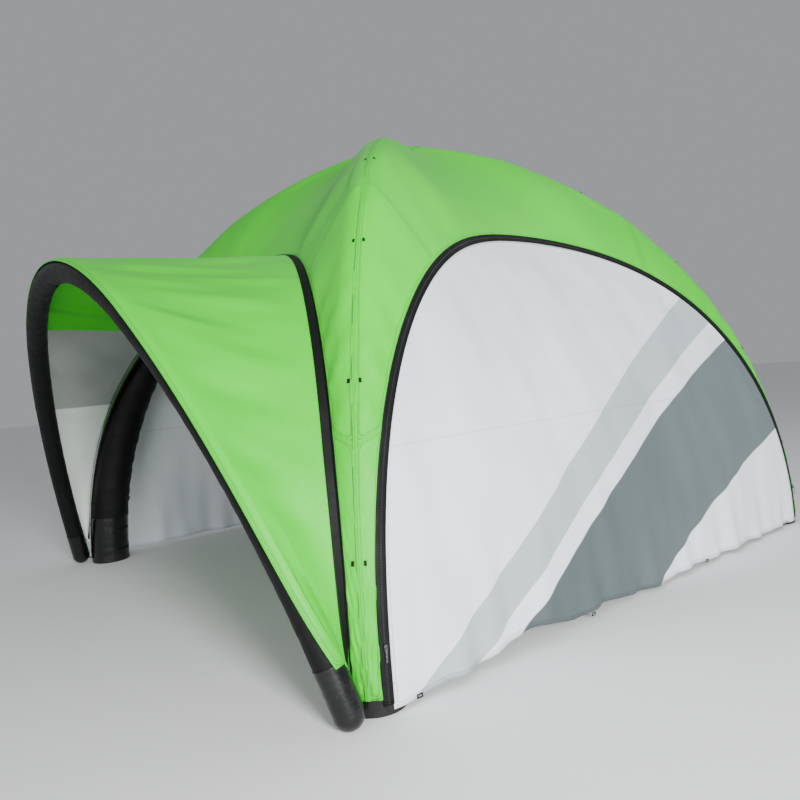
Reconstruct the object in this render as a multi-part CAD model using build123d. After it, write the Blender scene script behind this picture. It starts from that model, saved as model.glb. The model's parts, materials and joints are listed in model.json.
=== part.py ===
from build123d import *
import os
from math import asin, atan, cos, degrees, pi, radians, sin, sqrt

# Inflatable four-legged event tent with a leaning porch arch, in millimetres.
# +Z is up, +X is the side with the long printed wall, -Y is the porch side.

# Legs
LEG_SPACING = 4600.0     # between leg centres, along X and along Y
LEG_ARC_R = 3682.0       # radius of each leg's centre line, in its diagonal plane
SLEEVE_R = 172.0         # outside of a leg's black fabric sleeve
SLEEVE_T = 2.0
BLADDER_GAP = 1.0        # between sleeve and bladder
BLADDER_T = 2.0
BOOT_T = 3.2
BOOT_H = 450.0
SOLE_T = 5.0
MITRE_GAP = 2.0          # each leg stops this far from its neighbours at the crown

# Roof cover and walls
COVER_GAP = 5.0          # from a leg's sleeve to the inside of the cover
FABRIC_T = 3.0
SEAM_GAP = 1.0           # half the gap between two cover panels at a crest
ARCH_W = 2362.0          # half width of an opening's edge at the ground
ARCH_H = 2670.0          # height of that edge at the middle
ARCH_POWER_Y = 2.093
ARCH_POWER_Z = 2.335
BAND_W = 50.0            # black zip band along an opening
WALL_GAP = 8.0           # between a wall and its zip band
COVER_HEM_Z = 80.0
WALL_HEM_Z = 20.0
CROWN_HOLE = 60.0
CAP_R = 260.0
CAP_RISE = 75.0
CAP_LIFT = 52.0          # top of the crown cap over the cover's ridge

# Porch arch
PORCH_HALF_W = 2440.0    # from the middle to a porch foot
PORCH_FOOT_Y = -2549.0
PORCH_LEAN = 12.7        # degrees, outwards
PORCH_LOW_R = 3748.0     # radius of the lower run of the arch
PORCH_START = 12.21      # degrees from upright at the foot
PORCH_LOW_TURN = 36.62   # degrees turned along the lower run
PORCH_SLEEVE_R = 76.0
PORCH_BOOT_R = 79.0
PORCH_BOOT_H = 260.0
CANOPY_R = 90.0          # inside of the canopy where it goes round the porch tube
CANOPY_WRAP = 120.0      # degrees round the tube
CANOPY_LIFT = 12.0       # over the tent's own edge band
CANOPY_REACH = 0.86      # share of each half of the arch that the canopy covers

# Small parts
VALVE_Z = 650.0
PORCH_VALVE_UP = 480.0   # along the tube from its foot
VALVE_FLANGE_R = 32.0
VALVE_NECK_R = 22.0
VALVE_BORE_R = 14.0
VALVE_STEM_R = 16.0
ZIP_Z = 330.0
ZIP_LIFT = 5.0
LOOPS_PER_WALL = 4
CREST_TAB_HEIGHTS = (700.0, 1550.0, 2350.0, 3050.0)
CREST_TAB_ANGLE = 10.0   # round the leg, each side of the crest

LEG_HALF = LEG_SPACING / 2
FOOT_R = LEG_HALF * sqrt(2)
ARC_X0 = FOOT_R - LEG_ARC_R
COVER_R = SLEEVE_R + COVER_GAP
BLADDER_R = SLEEVE_R - SLEEVE_T - BLADDER_GAP
PORCH_FOOT_Z = PORCH_BOOT_R
TENT_TO_ORIGIN_Y = 354.05  # moves the plan's middle to the origin
SIDES = {"right": 0, "back": 90, "left": 180, "front": 270}
LEGS = {"back_right": 45, "back_left": 135, "front_left": 225, "front_right": 315}

parts = {}


# ---- legs, each built over the X axis and then turned into its corner ----

def leg_tube(radius):
    """A full leg, as a bent round bar of the given radius."""
    ring = Pos(FOOT_R, 0) * Circle(radius)
    return revolve(ring, Axis((ARC_X0, 0, 0), (0, -1, 0)), 90)


def corner_wedge(gap, low, high=4500.0):
    """The quarter of the plan that holds one leg, from height low to high."""
    tip = gap * sqrt(2)
    far = 4000.0
    plan = Polygon((tip, 0), (tip + far, -far), (tip + far, far), align=None)
    return Pos(0, 0, low) * extrude(plan, high - low)


def leg_centre(b):
    """Radius and height of a leg's centre line at angle b."""
    return ARC_X0 + LEG_ARC_R * cos(b), LEG_ARC_R * sin(b)


def leg_angle(z):
    return asin(z / LEG_ARC_R)


def closed_tube(radius, wall, gap, low):
    outside = leg_tube(radius) & corner_wedge(gap, low)
    inside = leg_tube(radius - wall) & corner_wedge(gap + wall, low + wall)
    return outside - inside


def valve_plane(offset):
    """Where a leg's valve stands: on the inner side, facing the middle."""
    b = leg_angle(VALVE_Z)
    r, z = leg_centre(b)
    normal = Vector(-cos(b), 0, -sin(b))
    centre = Vector(r, 0, z) + normal * (SLEEVE_R + offset)
    return Plane(origin=centre, x_dir=(0, 1, 0), z_dir=normal)


def valve(plane):
    """Flange, neck and stem of an inflation valve, with its air way."""
    neck_h, flange_t, stem_h = 12.0, 4.0, 14.0
    body = extrude(Circle(VALVE_FLANGE_R), flange_t)
    body += extrude(Circle(VALVE_NECK_R), flange_t + neck_h)
    body += extrude(Circle(VALVE_STEM_R), -stem_h)
    body -= Pos(0, 0, -stem_h) * extrude(Circle(VALVE_BORE_R), stem_h + flange_t + neck_h)
    lug = Pos(0, VALVE_NECK_R + 4, 8) * Box(10, 12, 8.5)
    return plane * (body + lug)


def valve_cap(plane):
    """Flat lid over the neck, hinged at its edge."""
    lid = Pos(0, 0, 16.4) * extrude(Circle(VALVE_NECK_R + 2), 4)
    tongue = Pos(0, VALVE_NECK_R + 5, 18.4) * Box(9, 12, 4)
    return plane * (lid + tongue)


def build_legs():
    sleeve = closed_tube(SLEEVE_R, SLEEVE_T, MITRE_GAP, SOLE_T + 1)
    bladder = closed_tube(BLADDER_R, BLADDER_T, MITRE_GAP + SLEEVE_T + 3, SOLE_T + 6)
    boot_inner = leg_tube(SLEEVE_R + 0.3) & corner_wedge(MITRE_GAP, SOLE_T)
    boot = (leg_tube(SLEEVE_R + BOOT_T) & corner_wedge(MITRE_GAP, 0, BOOT_H)) - boot_inner
    seat = valve_plane(0.5)
    sleeve -= seat * Pos(0, 0, -10) * extrude(Circle(VALVE_STEM_R + 6), 20)
    bladder -= seat * Pos(0, 0, -25) * extrude(Circle(VALVE_STEM_R + 0.3), 40)
    for name, turn in LEGS.items():
        place = Rot(0, 0, turn)
        parts[f"leg_sleeve_{name}"] = place * sleeve
        parts[f"leg_bladder_{name}"] = place * bladder
        parts[f"leg_boot_{name}"] = place * boot
        parts[f"valve_{name}"] = place * valve(seat)
        parts[f"valve_cap_{name}"] = place * valve_cap(seat)


# ---- cover panels and walls, each built on the +X side ----

APEX_B = asin(sqrt(1 - (ARC_X0 / LEG_ARC_R) ** 2))


def cover_direction(b):
    """Outward normal of the cover's flat span at leg angle b, in the XZ plane."""
    tangent = atan(cos(b))
    return (cos(tangent) * cos(b) + sin(tangent)) / sqrt(2), cos(tangent) * sin(b)


def cover_profile(radius, steps=12):
    """Side view (x, z) of the cover at a distance from the legs' centre lines."""
    points = []
    for i in range(steps + 1):
        b = APEX_B * i / steps
        r, z = leg_centre(b)
        nx, nz = cover_direction(b)
        points.append((r / sqrt(2) + radius * nx, z + radius * nz))
    return points


def span_block():
    """Upright block over the flat span: from one leg's line of contact to the other's."""
    line = []
    for i in range(13):
        b = APEX_B * i / 12
        line.append((cover_profile(COVER_R)[i][0], leg_centre(b)[0] / sqrt(2)))
    foot_x, far = line[0][0], 2800
    near_side = Spline(*line)
    far_side = Spline(*[(x, -y) for x, y in line])
    ends = Polyline(line[0], (far, line[0][1]), (far, -line[0][1]), (foot_x, -line[0][1]))
    return extrude(make_face([near_side, far_side, ends]), 4500)


def flat_span():
    """The part of one side's cover that is stretched between two legs."""
    near, far = cover_profile(COVER_R), cover_profile(COVER_R + FABRIC_T)
    edges = [Spline(*near), Spline(*far), Line(near[0], far[0]), Line(near[-1], far[-1])]
    sheet = extrude(Plane.XZ * make_face(edges), LEG_SPACING / 2, both=True)
    return sheet & span_block()


def leg_wrap(side):
    """The part of one side's cover that lies on a leg, from contact line to crest."""
    start = degrees(SEAM_GAP / COVER_R)
    reach = 50
    inner, outer = COVER_R, COVER_R + FABRIC_T
    sector = Circle(outer) - Circle(inner)
    sector &= Polygon((0, 0), (400 * cos(radians(start)), 400 * sin(radians(start))),
                      (400 * cos(radians(reach)), 400 * sin(radians(reach))), align=None)
    ring = Pos(FOOT_R, 0) * sector
    bar = revolve(ring, Axis((ARC_X0, 0, 0), (0, -1, 0)), 90) & corner_wedge(0, 0)
    bar = Rot(0, 0, -45) * bar
    if side > 0:
        bar = mirror(bar, Plane.XZ)
    return bar - span_block()


def arch_block(grow, low):
    """Everything inside an opening's edge, grown by a margin, from height low up."""
    half = []
    steps = 9
    for i in range(steps):
        rise = sin(pi / 2 * i / steps)
        y = (ARCH_W + grow) * (1 - rise ** ARCH_POWER_Z) ** (1 / ARCH_POWER_Y)
        half.append((y, (ARCH_H + grow) * rise))
    points = half + [(0, ARCH_H + grow)] + [(-y, z) for y, z in reversed(half)]
    edge = Spline(*points, tangents=[(0, 1), (0, -1)])
    w = ARCH_W + grow
    base = Polyline((-w, 0), (-w, -100), (w, -100), (w, 0))
    block = extrude(Plane.YZ * make_face([edge, base]), 3400)
    return block - Pos(1700, 0, low - 500) * Box(3600, 5200, 1000)


def wall_point(u, v, level):
    """Fills the opening's edge curve: u runs -1..1 across, v 0..1 up."""
    inset = BAND_W + WALL_GAP
    y = (ARCH_W - inset) * abs(u) * (1 - v ** ARCH_POWER_Z / 2) ** (1 / ARCH_POWER_Y)
    height = (ARCH_H - inset) * v * (1 - abs(u) ** ARCH_POWER_Y / 2) ** (1 / ARCH_POWER_Z)
    point = cover_point(height, y, COVER_R + level)[0]
    return Vector(point.X, -point.Y if u < 0 else point.Y, point.Z)


def build_cover():
    hem = Pos(1700, 0, COVER_HEM_Z - 500) * Box(3600, 5400, 1000)
    crown = Cylinder(CROWN_HOLE * sqrt(2), 9000)
    opening, band_in = arch_block(0, -90), arch_block(-BAND_W, -90)
    band_out = arch_block(-SEAM_GAP, COVER_HEM_Z)
    sheets = [flat_span(), leg_wrap(1), leg_wrap(-1)]
    panel = [sheet - opening - hem - crown for sheet in sheets]
    band = [(sheet & band_out) - band_in for sheet in sheets]
    across = [sin(pi / 24 * i) for i in range(-12, 13)]
    foot = WALL_HEM_Z / (ARCH_H - BAND_W - WALL_GAP)
    up = [foot + (1 - foot) * i / 20 for i in range(21)]
    wall = faceted_sheet(wall_point, across, up, 0, FABRIC_T)
    for name, turn in SIDES.items():
        place = Rot(0, 0, turn)
        parts[f"roof_panel_{name}"] = place * group(panel)
        parts[f"zip_band_{name}"] = place * group(band)
        if name != "front":
            parts[f"wall_{name}"] = place * wall


def group(pieces):
    """Several solids kept as one named piece."""
    return Compound([solid for piece in pieces for solid in piece.solids()])


def build_crown_cap():
    radius = (CAP_R ** 2 + CAP_RISE ** 2) / (2 * CAP_RISE)
    top = leg_centre(APEX_B)[1] + COVER_R + FABRIC_T + CAP_LIFT
    ball = Pos(0, 0, top - radius) * (Sphere(radius) - Sphere(radius - FABRIC_T))
    parts["crown_cap"] = ball & Pos(0, 0, top - CAP_RISE) * extrude(Circle(CAP_R), 200)


# ---- porch arch ----

def porch_plane(origin=(0, PORCH_FOOT_Y, PORCH_FOOT_Z)):
    """The leaning plane of the porch arch: its x along +X, its y up the lean."""
    lean = radians(PORCH_LEAN)
    return Plane(origin=origin, x_dir=(1, 0, 0), z_dir=(0, -cos(lean), -sin(lean)))


def porch_arcs():
    """Centres, radii and end angles of the lower right run and of the top run."""
    g0, g1 = radians(PORCH_START), radians(PORCH_START + PORCH_LOW_TURN)
    low = (PORCH_HALF_W - PORCH_LOW_R * cos(g0), -PORCH_LOW_R * sin(g0))
    join = (low[0] + PORCH_LOW_R * cos(g1), low[1] + PORCH_LOW_R * sin(g1))
    top_r = join[0] / cos(g1)
    return low, (0, join[1] - top_r * sin(g1)), top_r, g0, g1


LOW_CENTRE, TOP_CENTRE, PORCH_TOP_R, G0, G1 = porch_arcs()


def porch_point(g):
    """Point of the arch's centre line in its plane, and the outward normal there.

    g is the turn from the right foot: G0 at the foot, 90 degrees at the top.
    """
    centre, radius = (LOW_CENTRE, PORCH_LOW_R) if g < G1 else (TOP_CENTRE, PORCH_TOP_R)
    return (centre[0] + radius * cos(g), centre[1] + radius * sin(g)), (cos(g), sin(g))


def porch_path(start):
    """The arch's centre line as a wire, from the turn start on the right side."""
    join, crown = porch_point(G1)[0], porch_point(pi / 2)[0]
    foot, middle = porch_point(start)[0], porch_point((start + G1) / 2)[0]
    right = ThreePointArc(foot, middle, join)
    top = ThreePointArc(join, crown, (-join[0], join[1]))
    left = ThreePointArc((-join[0], join[1]), (-middle[0], middle[1]), (-foot[0], foot[1]))
    return porch_plane() * Wire([right.edge(), top.edge(), left.edge()])


def porch_bar(radius, start):
    path = porch_path(start)
    return sweep(Plane(path @ 0, z_dir=path % 0) * Circle(radius), path=path)


def porch_tube(radius, wall, start, wall_start):
    return porch_bar(radius, start) - porch_bar(radius - wall, wall_start)


def porch_boot():
    """Round-ended cup round the right porch foot, its end centred on the fold's axis."""
    foot = Pos(PORCH_HALF_W, PORCH_FOOT_Y, PORCH_FOOT_Z)
    near = foot * Sphere(PORCH_BOOT_H)
    cup = (porch_bar(PORCH_BOOT_R, G0) & near) + foot * Sphere(PORCH_BOOT_R)
    return cup - porch_bar(PORCH_SLEEVE_R + 0.4, G0)


def porch_valve_plane():
    """Where the porch tube's valve stands: on the inner side of its right limb."""
    (x, y), (nx, ny) = porch_point(G0 + PORCH_VALVE_UP / PORCH_LOW_R)
    reach = PORCH_SLEEVE_R + 0.5
    plane = porch_plane()
    centre = plane.from_local_coords(Vector(x - nx * reach, y - ny * reach, 0))
    inward = plane.from_local_coords(Vector(-nx, -ny, 0)) - plane.from_local_coords(Vector(0, 0, 0))
    return Plane(origin=centre, x_dir=plane.z_dir, z_dir=inward)


def wrap_point(b, alpha, radius):
    """Point of the leg wrap beside the +X, +Y leg, alpha round the leg from its crest."""
    r, z = leg_centre(b)
    out = (r + radius * cos(alpha) * cos(b)) / sqrt(2)
    swing = radius * sin(alpha) / sqrt(2)
    return Vector(out + swing, out - swing, z + radius * cos(alpha) * sin(b))


def cover_point(height, y, radius):
    """Point of the +X side's cover at a height and y, and the normal there."""
    low, high = 0.0, APEX_B
    for _ in range(50):
        b = (low + high) / 2
        tangent = atan(cos(b))
        contact = leg_centre(b)[0] / sqrt(2)
        if y <= contact:
            nx, nz = cover_direction(b)
            normal = Vector(nx, 0, nz)
            point = Vector(contact + radius * nx, y, leg_centre(b)[1] + radius * nz)
        else:
            alpha = wrap_angle(b, y, radius, tangent)
            point = wrap_point(b, alpha, radius)
            normal = (wrap_point(b, alpha, radius + 1) - point).normalized()
        low, high = (b, high) if point.Z < height else (low, b)
    return point, normal


def wrap_angle(b, y, radius, tangent):
    low, high = 0.0, tangent
    for _ in range(30):
        alpha = (low + high) / 2
        low, high = (low, alpha) if wrap_point(b, alpha, radius).Y < y else (alpha, high)
    return alpha


def edge_point(share, inset=0.0, radius=COVER_R + FABRIC_T):
    """Point and normal on an opening's edge, share 0..1 from the foot to the crown."""
    rise = sin(pi / 2 * share)
    y = (ARCH_W - inset) * (1 - rise ** ARCH_POWER_Z) ** (1 / ARCH_POWER_Y)
    return cover_point((ARCH_H - inset) * rise, y, radius)


def faceted_sheet(point, rows, columns, near, far):
    """Closed thin solid of flat facets between point(row, column, near) and (.., far)."""
    grids = [[[point(u, v, level) for v in columns] for u in rows] for level in (near, far)]
    facets = []

    def quad(a, b, c, d):
        facets.append(Face(Wire.make_polygon([a, b, c])))
        facets.append(Face(Wire.make_polygon([a, c, d])))

    last_row, last_column = len(rows) - 1, len(columns) - 1
    for grid in grids:
        for i in range(last_row):
            for j in range(last_column):
                quad(grid[i][j], grid[i + 1][j], grid[i + 1][j + 1], grid[i][j + 1])
    rim = [(i, 0) for i in range(last_row)] + [(last_row, j) for j in range(last_column)]
    rim += [(i, last_column) for i in range(last_row, 0, -1)]
    rim += [(0, j) for j in range(last_column, 0, -1)]
    low, high = grids
    for (i, j), (k, m) in zip(rim, rim[1:] + rim[:1]):
        quad(low[i][j], low[k][m], high[k][m], high[i][j])
    # a sewn shell can come out inside out, depending on which facet it starts from
    for start in range(len(facets)):
        solid = Solid(Shell(facets[start:] + facets[:start]))
        if solid.volume > 0:
            return solid
    raise ValueError("no facet order gives a solid with its faces outwards")


def canopy_point(u, v, level):
    """u runs -1..1 from foot to foot, v 0..1 over the span and 1..2 round the tube."""
    side = 1 if u >= 0 else -1
    share = 1 - abs(u)
    edge, normal = edge_point(share)
    start = Vector(edge.Y, -edge.X, edge.Z)
    start += Vector(normal.Y, -normal.X, normal.Z) * (CANOPY_LIFT + level)
    g = G0 + (pi / 2 - G0) * share
    (x, y), (nx, ny) = porch_point(g)
    plane = porch_plane()
    centre = plane.from_local_coords(Vector(x, y, 0))
    outward = plane.from_local_coords(Vector(x + nx, y + ny, 0)) - centre
    span = centre - start
    # both directions of the wrap stand square to the tube
    span = (outward * span.dot(outward) + plane.z_dir * span.dot(plane.z_dir)).normalized()
    away = (outward - span * outward.dot(span)).normalized()
    wrap = radians(CANOPY_WRAP) * max(0, v - 1)
    touch = centre + (away * cos(wrap) + span * sin(wrap)) * (CANOPY_R + level)
    point = start + (touch - start) * v if v < 1 else touch
    return Vector(side * point.X, point.Y, point.Z)


def build_porch():
    end_turn = 4 / PORCH_LOW_R
    seat = porch_valve_plane()
    sleeve = porch_tube(PORCH_SLEEVE_R, SLEEVE_T, G0 + end_turn, G0)
    bladder_r = PORCH_SLEEVE_R - SLEEVE_T - BLADDER_GAP
    bladder = porch_tube(bladder_r, BLADDER_T, G0 + end_turn, G0 + 2 * end_turn)
    parts["porch_sleeve"] = sleeve - seat * Pos(0, 0, -10) * extrude(Circle(VALVE_STEM_R + 6), 20)
    parts["porch_bladder"] = bladder - seat * Pos(0, 0, -25) * extrude(Circle(VALVE_STEM_R + 0.3), 40)
    parts["valve_porch"] = valve(seat)
    parts["valve_cap_porch"] = valve_cap(seat)
    parts["porch_boot_right"] = porch_boot()
    parts["porch_boot_left"] = mirror(porch_boot(), Plane.YZ)
    rows = [CANOPY_REACH * (i / 20 - 1) for i in range(41)]
    columns = [0, 0.33, 0.67, 1.0, 1.25, 1.5, 1.75, 2.0]
    parts["porch_canopy"] = faceted_sheet(canopy_point, rows, columns, 0, FABRIC_T)


# ---- small parts ----

def surface_plane(point, normal, along):
    """Plane lying on the cover: z outwards, x as near to along as it can be."""
    x_dir = (along - normal * along.dot(normal)).normalized()
    return Plane(origin=point, x_dir=x_dir, z_dir=normal)


def zip_slider():
    """Slider of a wall's zip with its pull, standing on the band at its foot."""
    share = asin(ZIP_Z / ARCH_H) / (pi / 2)
    point, normal = edge_point(share, BAND_W / 2)
    ahead = edge_point(share + 0.03, BAND_W / 2)[0] - point
    place = surface_plane(point + normal * ZIP_LIFT, normal, ahead)
    body = Pos(0, 0, 4) * Box(34, 16, 8)
    body = fillet(body.edges().filter_by(Axis.Z), 5)
    bridge = Pos(-4, 0, 9.5) * Box(12, 6, 5)
    pull = Pos(-38, 0, 10.5) * Box(62, 9, 3)
    return place * (body + bridge + fillet(pull.edges().filter_by(Axis.Z), 3))


def build_zip_sliders():
    slider = zip_slider()
    for name, turn in SIDES.items():
        if name == "front":
            continue
        parts[f"zip_slider_{name}_a"] = Rot(0, 0, turn) * slider
        parts[f"zip_slider_{name}_b"] = Rot(0, 0, turn) * mirror(slider, Plane.XZ)


def hem_loop(y):
    """Webbing loop for a ground peg, flat against the foot of a wall."""
    point, normal = cover_point(WALL_HEM_Z + 12, y, COVER_R + FABRIC_T)
    loop = Box(38, 22, 2) - Box(24, 10, 4)
    place = surface_plane(point + normal * 1.4, normal, Vector(0, 1, 0))
    return place * loop


def build_hem_loops():
    reach = LEG_HALF - 150
    step = 2 * reach / (LOOPS_PER_WALL - 1)
    loops = [hem_loop(-reach + step * i) for i in range(LOOPS_PER_WALL)]
    walls = [turn for name, turn in SIDES.items() if name != "front"]
    parts["hem_loops"] = group([Rot(0, 0, turn) * loop for turn in walls for loop in loops])


def crest_tab(b, side):
    """Small stitched tab beside the crest seam of a leg."""
    point, normal = wrap_tab_spot(b, side)
    return surface_plane(point + normal * 0.5, normal, Vector(0, 0, 1)) * Pos(0, 0, 2) * Box(26, 14, 3)


def wrap_tab_spot(b, side):
    alpha = radians(CREST_TAB_ANGLE)
    radius = COVER_R + FABRIC_T
    point = wrap_point(b, alpha, radius)
    normal = (wrap_point(b, alpha, radius + 1) - point).normalized()
    if side > 0:
        return point, normal
    return Vector(point.Y, point.X, point.Z), Vector(normal.Y, normal.X, normal.Z)


def build_crest_tabs():
    tabs = [crest_tab(leg_angle(z), side) for z in CREST_TAB_HEIGHTS for side in (1, -1)]
    parts["crest_tabs"] = group([Rot(0, 0, turn) * tab for turn in SIDES.values() for tab in tabs])


def build_foot_tabs():
    """Webbing tabs that hold each porch foot beside the tent's own foot."""
    leg = Pos(LEG_HALF, -LEG_HALF, 0) * Cylinder(SLEEVE_R + BOOT_T + 0.3, 400)
    foot = Pos(PORCH_HALF_W, PORCH_FOOT_Y, PORCH_FOOT_Z) * Sphere(PORCH_BOOT_R + 0.6)
    middle = Vector(LEG_HALF + PORCH_HALF_W, PORCH_FOOT_Y - LEG_HALF, 0) / 2
    turn = degrees(atan((PORCH_FOOT_Y + LEG_HALF) / (PORCH_HALF_W - LEG_HALF)))
    strap = Pos(middle.X, middle.Y, 45) * Rot(0, 0, turn) * Box(200, 40, 3)
    tab = strap - leg - foot
    tab = max(tab.solids(), key=lambda solid: solid.volume)
    parts["foot_tabs"] = group([tab, mirror(tab, Plane.YZ)])


if __name__ == "__main__":
    os.makedirs("parts", exist_ok=True)
    build_legs()
    build_cover()
    build_crown_cap()
    build_porch()
    build_zip_sliders()
    build_hem_loops()
    build_crest_tabs()
    build_foot_tabs()
    for name, solid in parts.items():
        export_step(Pos(0, TENT_TO_ORIGIN_Y, 0) * solid, f"parts/{name}.step")
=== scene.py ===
import json
from math import cos, pi, radians, sin, sqrt

import bmesh
import bpy
import numpy as np
from bpy.props import FloatProperty, FloatVectorProperty, PointerProperty
from bpy.types import Operator, Panel, PropertyGroup
from mathutils import Matrix, Vector


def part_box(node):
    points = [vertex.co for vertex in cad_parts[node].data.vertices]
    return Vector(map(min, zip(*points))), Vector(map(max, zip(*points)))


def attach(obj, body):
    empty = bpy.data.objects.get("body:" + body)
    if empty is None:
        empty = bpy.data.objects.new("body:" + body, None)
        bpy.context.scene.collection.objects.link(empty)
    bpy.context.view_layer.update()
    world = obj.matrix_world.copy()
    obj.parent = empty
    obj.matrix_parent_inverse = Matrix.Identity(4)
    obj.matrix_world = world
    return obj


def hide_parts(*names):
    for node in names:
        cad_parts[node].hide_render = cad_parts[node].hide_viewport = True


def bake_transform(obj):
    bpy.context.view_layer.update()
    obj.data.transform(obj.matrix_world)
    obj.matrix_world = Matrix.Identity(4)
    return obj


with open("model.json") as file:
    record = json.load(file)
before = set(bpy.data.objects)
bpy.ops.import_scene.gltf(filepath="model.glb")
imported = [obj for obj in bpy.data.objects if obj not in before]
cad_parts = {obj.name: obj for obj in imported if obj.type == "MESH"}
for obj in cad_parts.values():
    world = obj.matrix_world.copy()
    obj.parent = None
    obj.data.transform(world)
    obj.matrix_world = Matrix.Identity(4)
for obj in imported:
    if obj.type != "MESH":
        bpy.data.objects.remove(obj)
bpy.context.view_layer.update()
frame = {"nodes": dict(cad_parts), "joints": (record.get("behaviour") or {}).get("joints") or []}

bl_info = {
    "name": "Inflatable event tent",
    "version": (1, 0, 0),
    "blender": (4, 5, 0),
    "location": "View3D > Sidebar > Tent",
    "description": "Builds the cloth, tubes, zips and fittings of a four-legged inflatable tent",
    "category": "Object",
}

SIDES = {"right": 0.0, "back": 90.0, "left": 180.0, "front": 270.0}
LEGS = {"back_right": 45.0, "back_left": 135.0, "front_left": 225.0, "front_right": 315.0}
WALLS = ("right", "back", "left")


def plan_middle():
    """Middle of the four leg boots, which is where the tent's own axis stands."""
    corners = [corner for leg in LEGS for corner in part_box(f"leg_boot_{leg}")]
    return Vector((
        (min(c.x for c in corners) + max(c.x for c in corners)) / 2,
        (min(c.y for c in corners) + max(c.y for c in corners)) / 2,
        0.0,
    ))


TENT_MIDDLE = plan_middle()


def length(label, text, default):
    return FloatProperty(name=label, description=text, default=default, unit="LENGTH")


def colour(label, text, default):
    return FloatVectorProperty(name=label, description=text, default=default, size=3,
                               subtype="COLOR", min=0.0, max=1.0)


class TentSizes(PropertyGroup):
    leg_spacing: length("Leg spacing", "Between leg centres along X and Y", 4.6)
    leg_arc: length("Leg arc", "Radius of each leg's centre line", 3.682)
    sleeve: length("Sleeve radius", "Outside of a leg's sleeve", 0.172)
    cover: length("Cover radius", "From a leg's centre line to the cover", 0.1785)
    edge_half: length("Edge half width", "Half width of an opening at the ground", 2.362)
    edge_top: length("Edge height", "Height of an opening's edge at its middle", 2.670)
    edge_sag: length("Edge draw-in", "How far the edge is drawn in at its crown", 0.197)
    band: length("Zip band", "Width of the black zip band", 0.050)
    cover_hem: length("Cover hem", "Height of the roof cover's hem", 0.085)
    wall_hem: length("Wall hem", "Height of a wall's hem", 0.022)
    cloth: length("Cloth", "Thickness of the cloth", 0.0012)
    porch_half: length("Porch half width", "From the middle to a porch foot", 2.440)
    porch_low: length("Porch lower arc", "Radius of the porch arch's lower run", 3.748)
    porch_tube: length("Porch tube", "Outside radius of the porch sleeve", 0.0762)
    tooth_pitch: length("Zip pitch", "Between two teeth of a zip", 0.014)
    porch_lean: FloatProperty(name="Porch lean", description="Outward lean of the porch arch",
                              default=radians(12.7), subtype="ANGLE")
    porch_start: FloatProperty(name="Porch start", description="Inward turn at a porch foot",
                               default=radians(12.21), subtype="ANGLE")
    porch_turn: FloatProperty(name="Porch lower turn", description="Turn along the lower run",
                              default=radians(36.62), subtype="ANGLE")


class TentColours(PropertyGroup):
    green: colour("Roof green", "Dyed roof cloth", (0.045, 0.62, 0.010))
    green_deep: colour("Shaded green", "Deeper patches in the roof cloth", (0.030, 0.50, 0.006))
    white: colour("Wall white", "Unprinted wall cloth", (0.74, 0.77, 0.83))
    light_grey: colour("Light stripe", "Pale printed stripe", (0.37, 0.43, 0.45))
    dark_grey: colour("Dark band", "Broad printed band", (0.082, 0.106, 0.110))
    black: colour("Black cloth", "Sleeves, bands and webbing", (0.0032, 0.0034, 0.0034))
    vinyl: colour("Boot vinyl", "Glossy boots", (0.004, 0.004, 0.0045))
    plastic: colour("Valve plastic", "Valves and caps", (0.020, 0.020, 0.022))
    # the porch print is also darkened, in porch_cloth, to paint shade on the stretch above the pale part
    porch_print: colour("Porch print", "Pale lower part of the porch's left flank", (0.66, 0.72, 0.68))


def sizes():
    return bpy.context.scene.tent_sizes


def colours():
    return bpy.context.scene.tent_colours


# ---- shape of the cover: b is the turn along a leg, w the run across a side ----

EDGE_POWER_Y = 2.093
EDGE_POWER_Z = 2.335
EDGE_TURN_MARGIN = 0.03
DRAW_POWER = 1.5        # how fast the draw-in dies out towards a leg
DRAW_SLACK = 0.002      # how far the cover may sink where it meets a leg: by its draw-in alone,
FOLD_SLACK = 0.0028     # and with its folds
CREST_TURN_POWER = 1.35
LOWEST_TURN = -0.05     # turns about a leg's arc, below which the cover isn't asked for
LOWEST_ROLL = -0.2      # roll about a leg's tube, past which the cover isn't asked for
HALVINGS = 40           # steps of the search for a point of the cover


def leg_line(b):
    """Radius and height of a leg's centre line."""
    s = sizes()
    foot = s.leg_spacing / sqrt(2)
    return foot - s.leg_arc + s.leg_arc * np.cos(b), s.leg_arc * np.sin(b)


def apex_turn():
    s = sizes()
    return np.arccos((s.leg_arc - s.leg_spacing / sqrt(2)) / s.leg_arc)


def crest_reach(b):
    """Largest run across, at the crest of the leg."""
    return leg_line(b)[0] / sqrt(2) + sizes().cover * np.arctan(np.cos(b))


def tube_drop(b, away):
    """How far a leg's surface falls below the cover at a distance from their contact."""
    return (1 - np.sin(b) ** 2 / 2) * away ** 2 / (2 * sizes().sleeve)


def draw_in(b, across):
    """Inward sag of the stretched span, across = 0 in the middle and 1 at a leg."""
    s = sizes()
    edge_b = np.arcsin(min(1.0, s.edge_top / s.leg_arc)) - EDGE_TURN_MARGIN
    low = np.sin(b) / np.sin(edge_b)
    high = 1 - ((b - edge_b) / (apex_turn() - edge_b)) ** 2
    rise = np.where(b < edge_b, low, high)
    drawn = s.edge_sag * np.clip(rise, 0, 1) * np.clip(1 - across ** 2, 0, 1) ** DRAW_POWER
    away = np.clip(leg_line(b)[0] / sqrt(2) * (1 - across), 0, None)
    return np.minimum(drawn, DRAW_SLACK + tube_drop(b, away))


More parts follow.
